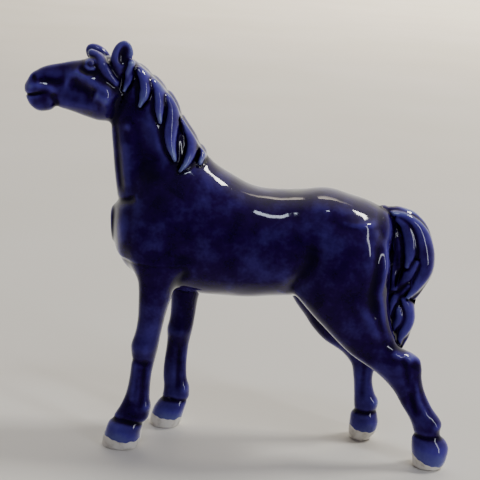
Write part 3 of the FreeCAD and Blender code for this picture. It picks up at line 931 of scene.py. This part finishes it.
@functools.lru_cache(maxsize=1)
def bare_porcelain():
    """White porcelain body, wiped and fired bare: matt, faintly grainy, and slightly stained in spots."""
    look = bpy.context.scene.horse_finish
    m = new_material("bare_porcelain_wiped")
    place = add_node(m, "ShaderNodeTexCoord")
    stain = add_node(m, "ShaderNodeTexNoise", [("Vector", place, "Object")], Scale=420.0, Detail=4.0)
    colour = add_node(m, "ShaderNodeValToRGB", [("Fac", stain, "Fac")])
    set_ramp(colour, [(0.25, "#c9c5ba"), (0.5, look.bare_hex), (0.75, "#f6f4ee")])
    grit = add_node(m, "ShaderNodeTexNoise", [("Vector", place, "Object")], Scale=2600.0, Detail=2.0)
    bump = add_node(m, "ShaderNodeBump", [("Height", grit, "Fac")], Strength=0.35, Distance=0.0002)
    shader = add_node(
        m,
        "ShaderNodeBsdfPrincipled",
        [("Base Color", colour, "Color"), ("Normal", bump, "Normal")],
        Roughness=0.72,
        IOR=1.5,
    )
    add_node(m, "ShaderNodeOutputMaterial", [("Surface", shader, "BSDF")])
    return m


@functools.lru_cache(maxsize=1)
def pale_floor():
    """Pale matt studio floor, very slightly uneven in tone."""
    m = new_material("floor_pale_matt")
    place = add_node(m, "ShaderNodeTexCoord")
    tone = add_node(m, "ShaderNodeTexNoise", [("Vector", place, "Object")], Scale=6.0, Detail=2.0)
    colour = add_node(m, "ShaderNodeValToRGB", [("Fac", tone, "Fac")])
    set_ramp(colour, [(0.3, "#e0dcd2"), (0.7, "#e6e2da")])
    shader = add_node(m, "ShaderNodeBsdfPrincipled", [("Base Color", colour, "Color")], Roughness=0.85)
    add_node(m, "ShaderNodeOutputMaterial", [("Surface", shader, "BSDF")])
    return m


# ---------------------------------------------------------------- settings
class HorseClay(bpy.types.PropertyGroup):
    """How finely the clay is worked."""

    lattice: bpy.props.FloatProperty(
        name="Lattice", description="Spacing of the lattice of the clay", default=0.00036, unit="LENGTH"
    )
    eye_radius: bpy.props.FloatProperty(
        name="Eye radius", description="Radius of each eye ball", default=0.00110, unit="LENGTH"
    )


class HorseFinish(bpy.types.PropertyGroup):
    """Glaze and bare porcelain."""

    # Thick glaze of the hollows, which also serves as painted shade in creases.
    deep_hex: bpy.props.StringProperty(
        name="Deep glaze", description="sRGB hex of thick glaze", default="#0b0028"
    )
    body_hex: bpy.props.StringProperty(
        name="Glaze", description="sRGB hex of glaze on flat skin", default="#1b0044"
    )
    ridge_hex: bpy.props.StringProperty(
        name="Thin glaze", description="sRGB hex of glaze on ridges", default="#463c94"
    )
    bare_hex: bpy.props.StringProperty(
        name="Bare porcelain", description="sRGB hex of the feet", default="#efece4"
    )
    gloss: bpy.props.FloatProperty(
        name="Glaze roughness",
        description="Roughness of the fired glaze",
        default=0.06,
        min=0,
        max=1,
        subtype="FACTOR",
    )


class HorseStudio(bpy.types.PropertyGroup):
    """Light and camera."""

    window_power: bpy.props.FloatProperty(
        name="Front window", description="Power of the weak window in front", default=1.6, unit="POWER"
    )
    side_power: bpy.props.FloatProperty(
        name="Side softbox", description="Power of the main light by the tail", default=12.0, unit="POWER"
    )
    strip_power: bpy.props.FloatProperty(
        name="Strip", description="Power of the tall narrow light in front", default=4.0, unit="POWER"
    )
    far_power: bpy.props.FloatProperty(
        name="Far softbox", description="Power of the softbox over the far floor", default=54.0, unit="POWER"
    )
    room_light: bpy.props.FloatProperty(
        name="Room", description="Strength of the light of the room", default=1.65
    )
    camera_distance: bpy.props.FloatProperty(
        name="Camera distance", description="From lens to point looked at", default=0.36, unit="LENGTH"
    )


# ---------------------------------------------------------------- operators
class MakeBody(bpy.types.Operator):
    """Trunk, neck and head"""

    bl_idname = "horse.make_body"
    bl_label = "Body"

    def execute(self, context):
        clay_pieces(["trunk", "neck", "head"])
        return {"FINISHED"}


class MakeLegs(bpy.types.Operator):
    """Four glazed legs"""

    bl_idname = "horse.make_legs"
    bl_label = "Legs"

    def execute(self, context):
        clay_pieces([name for name in PIECES if "leg_" in name])
        return {"FINISHED"}


class MakeFeet(bpy.types.Operator):
    """Four bare feet below the glaze line"""

    bl_idname = "horse.make_feet"
    bl_label = "Bare feet"

    def execute(self, context):
        clay_pieces([name for name in PIECES if "foot_" in name])
        return {"FINISHED"}


class MakeHair(bpy.types.Operator):
    """Locks of the mane, forelock, tail and its strands"""

    bl_idname = "horse.make_hair"
    bl_label = "Mane and tail"

    def execute(self, context):
        clay_pieces([name for name in PIECES if name.startswith(("mane_", "forelock", "tail"))])
        return {"FINISHED"}


class MakeEars(bpy.types.Operator):
    """Two cupped ears"""

    bl_idname = "horse.make_ears"
    bl_label = "Ears"

    def execute(self, context):
        clay_pieces(["ear_left", "ear_right"])
        return {"FINISHED"}


class MakeEyes(bpy.types.Operator):
    """Two eye balls between their lids"""

    bl_idname = "horse.make_eyes"
    bl_label = "Eyes"

    def execute(self, context):
        clay = modelled_clay()
        radius = context.scene.horse_clay.eye_radius / MM
        for hand, word in SIDES:
            skin_y = clay.skin_side(EYE_STATION, EYE_HEIGHT, hand)
            middle = EYE_STATION, skin_y - hand * EYE_SUNK * radius, EYE_HEIGHT
            points, polygons = ball(middle, radius)
            outward = points - points.mean(0)
            new_piece(
                f"eye_{word}_ball", points, polygons, cobalt_glaze(), [f"eye_{word}"],
                outward / np.linalg.norm(outward, axis=1)[:, None], np.full(len(points), 0.2),
            )
        return {"FINISHED"}


def ball(middle, radius, around=32, rings=16):
    """Sphere: middle + radius (sin t cos a, sin t sin a, cos t), with one point at each pole."""
    heights = np.linspace(0, np.pi, rings + 1)[1:-1]
    t, a = np.meshgrid(heights, np.arange(around) * 2 * np.pi / around, indexing="ij")
    rows = np.stack([np.sin(t) * np.cos(a), np.sin(t) * np.sin(a), np.cos(t)], axis=-1).reshape(-1, 3)
    points = np.vstack([rows, [0, 0, 1], [0, 0, -1]]) * radius + middle
    i, j = np.meshgrid(np.arange(rings - 2), np.arange(around), indexing="ij")
    k = (j + 1) % around
    here, below = i * around, (i + 1) * around
    quads = np.stack([here + j, below + j, below + k, here + k], -1).reshape(-1, 4)
    j = np.arange(around)
    k, last, north = (j + 1) % around, (rings - 2) * around, len(rows)
    top = np.column_stack([np.full(around, north), j, k])
    bottom = np.column_stack([np.full(around, north + 1), last + k, last + j])
    return points, quads.tolist() + top.tolist() + bottom.tolist()


class MakeStudio(bpy.types.Operator):
    """Pale floor, window light, room and camera"""

    bl_idname = "horse.make_studio"
    bl_label = "Studio"

    def execute(self, context):
        scene, studio = context.scene, context.scene.horse_studio
        mesh = bpy.data.meshes.new("floor")
        mesh.from_pydata([(-6, -6, 0), (6, -6, 0), (6, 6, 0), (-6, 6, 0)], [], [(0, 1, 2, 3)])
        mesh.materials.append(pale_floor())
        floor = bpy.data.objects.new("floor", mesh)
        floor.visible_glossy = False
        scene.collection.objects.link(floor)

        figure = 0, 0, 0.06
        for name, place, aim, size, power, spread, colour in (
            ("front_window", (0.12, -0.44, 1.12), figure, (0.24, 0.13), studio.window_power, 180, "#dfeaff"),
            ("side_softbox", (0.88, 0.27, 1.37), figure, (0.30, 0.24), studio.side_power, 180, "#fffdf8"),
            ("strip_light", (0.95, -0.75, 0.55), (0, 0, 0.05), (0.12, 1), studio.strip_power, 180, "#eef2ff"),
            ("far_softbox", (1.0, 2.3, 2.4), (1.0, 2.2, 0), (2.4, 2.2), studio.far_power, 70, "#fff2dc"),
        ):
            light = bpy.data.lights.new(name, "AREA")
            light.shape, light.size, light.size_y = "RECTANGLE", *size
            light.energy, light.color, light.spread = power, linear(colour)[:3], math.radians(spread)
            lamp = bpy.data.objects.new(name, light)
            lamp.location = place
            lamp.rotation_euler = (Vector(aim) - Vector(place)).to_track_quat("-Z", "Y").to_euler()
            scene.collection.objects.link(lamp)

        world = bpy.data.worlds.new("room")
        scene.world = world
        world.use_nodes = True
        world.node_tree.nodes.clear()
        direction = add_node(world, "ShaderNodeTexCoord")
        parts = add_node(world, "ShaderNodeSeparateXYZ", [("Vector", direction, "Generated")])
        # The room is dim behind the camera, lighter above and below, and pale beyond the figure.
        sideways = add_node(world, "ShaderNodeMath", [(0, parts, "X")], operation="MULTIPLY")
        sideways.inputs[1].default_value = 0.15
        depth = add_node(world, "ShaderNodeMath", [(0, parts, "Y"), (1, sideways, "Value")], operation="ADD")
        height = add_node(world, "ShaderNodeMath", [(0, parts, "Z")], operation="ABSOLUTE")
        links = [(0, height, "Value"), (2, depth, "Value")]
        rise = add_node(world, "ShaderNodeMath", links, operation="MULTIPLY_ADD")
        rise.inputs[1].default_value = 0.30
        shift = add_node(
            world, "ShaderNodeMapRange", [("Value", rise, "Value")], **{"From Min": -1.0, "From Max": 1.0}
        )
        tone = add_node(world, "ShaderNodeValToRGB", [("Fac", shift, "Result")])
        dim = [(0.0, "#222026"), (0.5, "#4c484f")]
        set_ramp(tone, dim + [(0.66, "#8b8889"), (0.84, "#bcb9b4"), (1.0, "#e9e5dc")])
        glow = add_node(world, "ShaderNodeBackground", [("Color", tone, "Color")], Strength=studio.room_light)
        add_node(world, "ShaderNodeOutputWorld", [("Surface", glow, "Background")])

        lens = bpy.data.cameras.new("camera")
        lens.sensor_width, lens.lens = 36, 91.8
        camera = bpy.data.objects.new("camera", lens)
        down, roll_angle = math.radians(15), math.radians(4)
        sight = Vector((0, math.cos(down), -math.sin(down)))
        right, up = Vector((1, 0, 0)), Vector((0, math.sin(down), math.cos(down)))
        c, s = math.cos(roll_angle), math.sin(roll_angle)
        columns = right * c + up * s, up * c - right * s, -sight
        place = Vector((-0.0014, 0, 0.0636)) - sight * studio.camera_distance
        camera.matrix_world = Matrix.Translation(place) @ Matrix(columns).transposed().to_4x4()
        lens.clip_start, lens.clip_end = 0.01, 50
        scene.collection.objects.link(camera)
        scene.camera = camera
        return {"FINISHED"}


class HorsePanel(bpy.types.Panel):
    """Steps of making the figurine"""

    bl_idname = "VIEW3D_PT_horse_figurine"
    bl_label = "Horse figurine"
    bl_space_type = "VIEW_3D"
    bl_region_type = "UI"
    bl_category = "Horse figurine"

    def draw(self, context):
        for settings in (context.scene.horse_clay, context.scene.horse_finish, context.scene.horse_studio):
            for key in settings.__annotations__:
                self.layout.prop(settings, key)
        for step in STEPS:
            self.layout.operator(step.bl_idname)


STEPS = (MakeStudio, MakeBody, MakeLegs, MakeFeet, MakeHair, MakeEars, MakeEyes)
SETTINGS = {"horse_clay": HorseClay, "horse_finish": HorseFinish, "horse_studio": HorseStudio}


def register():
    for cls in (*SETTINGS.values(), *STEPS, HorsePanel):
        bpy.utils.register_class(cls)
    for name, group in SETTINGS.items():
        setattr(bpy.types.Scene, name, bpy.props.PointerProperty(type=group))


def unregister():
    for name in SETTINGS:
        delattr(bpy.types.Scene, name)
    for cls in (HorsePanel, *reversed(STEPS), *SETTINGS.values()):
        bpy.utils.unregister_class(cls)


def main():
    """Make everything in order."""
    register()
    for step in STEPS:
        area, name = step.bl_idname.split(".")
        getattr(getattr(bpy.ops, area), name)()


if __name__ == "__main__":
    main()
